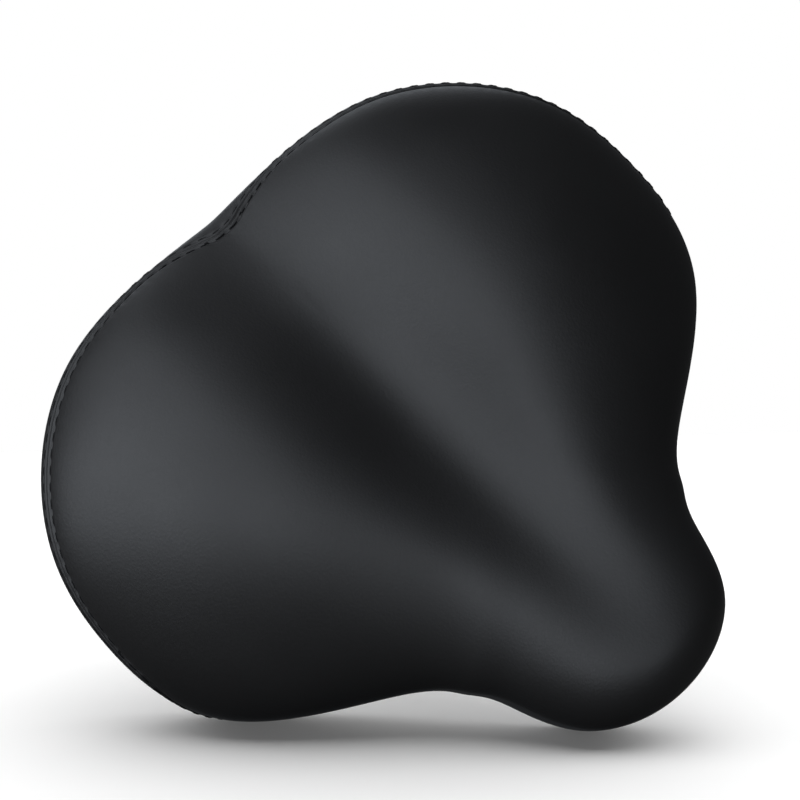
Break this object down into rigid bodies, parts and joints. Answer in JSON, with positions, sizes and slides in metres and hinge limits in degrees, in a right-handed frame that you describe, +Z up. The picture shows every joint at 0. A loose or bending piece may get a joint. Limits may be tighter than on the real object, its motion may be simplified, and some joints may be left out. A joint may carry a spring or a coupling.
{
  "type": "bicycle saddle",
  "caption": "Wide two-lobed padded bicycle saddle with a relief groove, rear coil springs, wire rails and a seatpost clamp.",
  "frame": {"origin": "centre of the seatpost clamp's bore", "axes": "+Z up, -Y towards the nose, +X towards the rider's left"},
  "size_m": [0.3098, 0.2805, 0.1585],
  "materials": {
    "cover": "smooth satin synthetic leather",
    "foam": "open-cell foam",
    "base_plastic": "fine moulded texture",
    "spring_steel": "bright plated",
    "black_steel": "satin powder coat",
    "fasteners": "zinc plated"
  },
  "bodies": {
    "clamp": {"clamp_band": "black_steel", "serrated_washer_left": "fasteners", "serrated_washer_right": "fasteners", "clamp_bolt": "fasteners", "clamp_washers": "fasteners", "clamp_nut": "fasteners"},
    "cradle": {"rail_cradle_left": "black_steel", "rail_cradle_right": "black_steel", "rail_cap_left": "black_steel", "rail_cap_right": "black_steel"},
    "rails": {"rail_wire": "spring_steel", "rear_bridge": "black_steel", "lower_spring_bolts": "fasteners", "lower_spring_nuts": "fasteners", "spring_cup_lower_left": "black_steel", "spring_cup_lower_right": "black_steel", "spring_left": "spring_steel", "spring_right": "spring_steel"},
    "saddle_top": {"cover_top_panel": "cover", "cover_rear_panel": "cover", "foam_pad": "foam", "base_shell": "base_plastic", "hem_staples": "fasteners", "nose_bracket": "black_steel", "nose_screws": "fasteners", "rear_mount_plate": "black_steel", "mount_plate_screws": "fasteners", "spring_cup_upper_left": "black_steel", "spring_cup_upper_right": "black_steel", "upper_spring_bolts": "fasteners"}
  },
  "joints": [
    {"name": "tilt", "type": "hinge", "parent": "clamp", "child": "cradle", "pos_m": [0, 0.03, 0], "axis": [1, 0, 0], "range_deg": [-15, 15]},
    {"name": "fore_aft", "type": "slide", "parent": "cradle", "child": "rails", "axis": [0, 1, 0], "range_m": [-0.012, 0.012]},
    {"name": "suspension", "type": "hinge", "parent": "rails", "child": "saddle_top", "pos_m": [0, -0.1, 0.078], "axis": [-1, 0, 0], "range_deg": [0, 5], "stiffness_Nm_per_rad": 700, "springref_deg": -0.29, "deforming": ["spring_left", "spring_right"]}
  ]
}
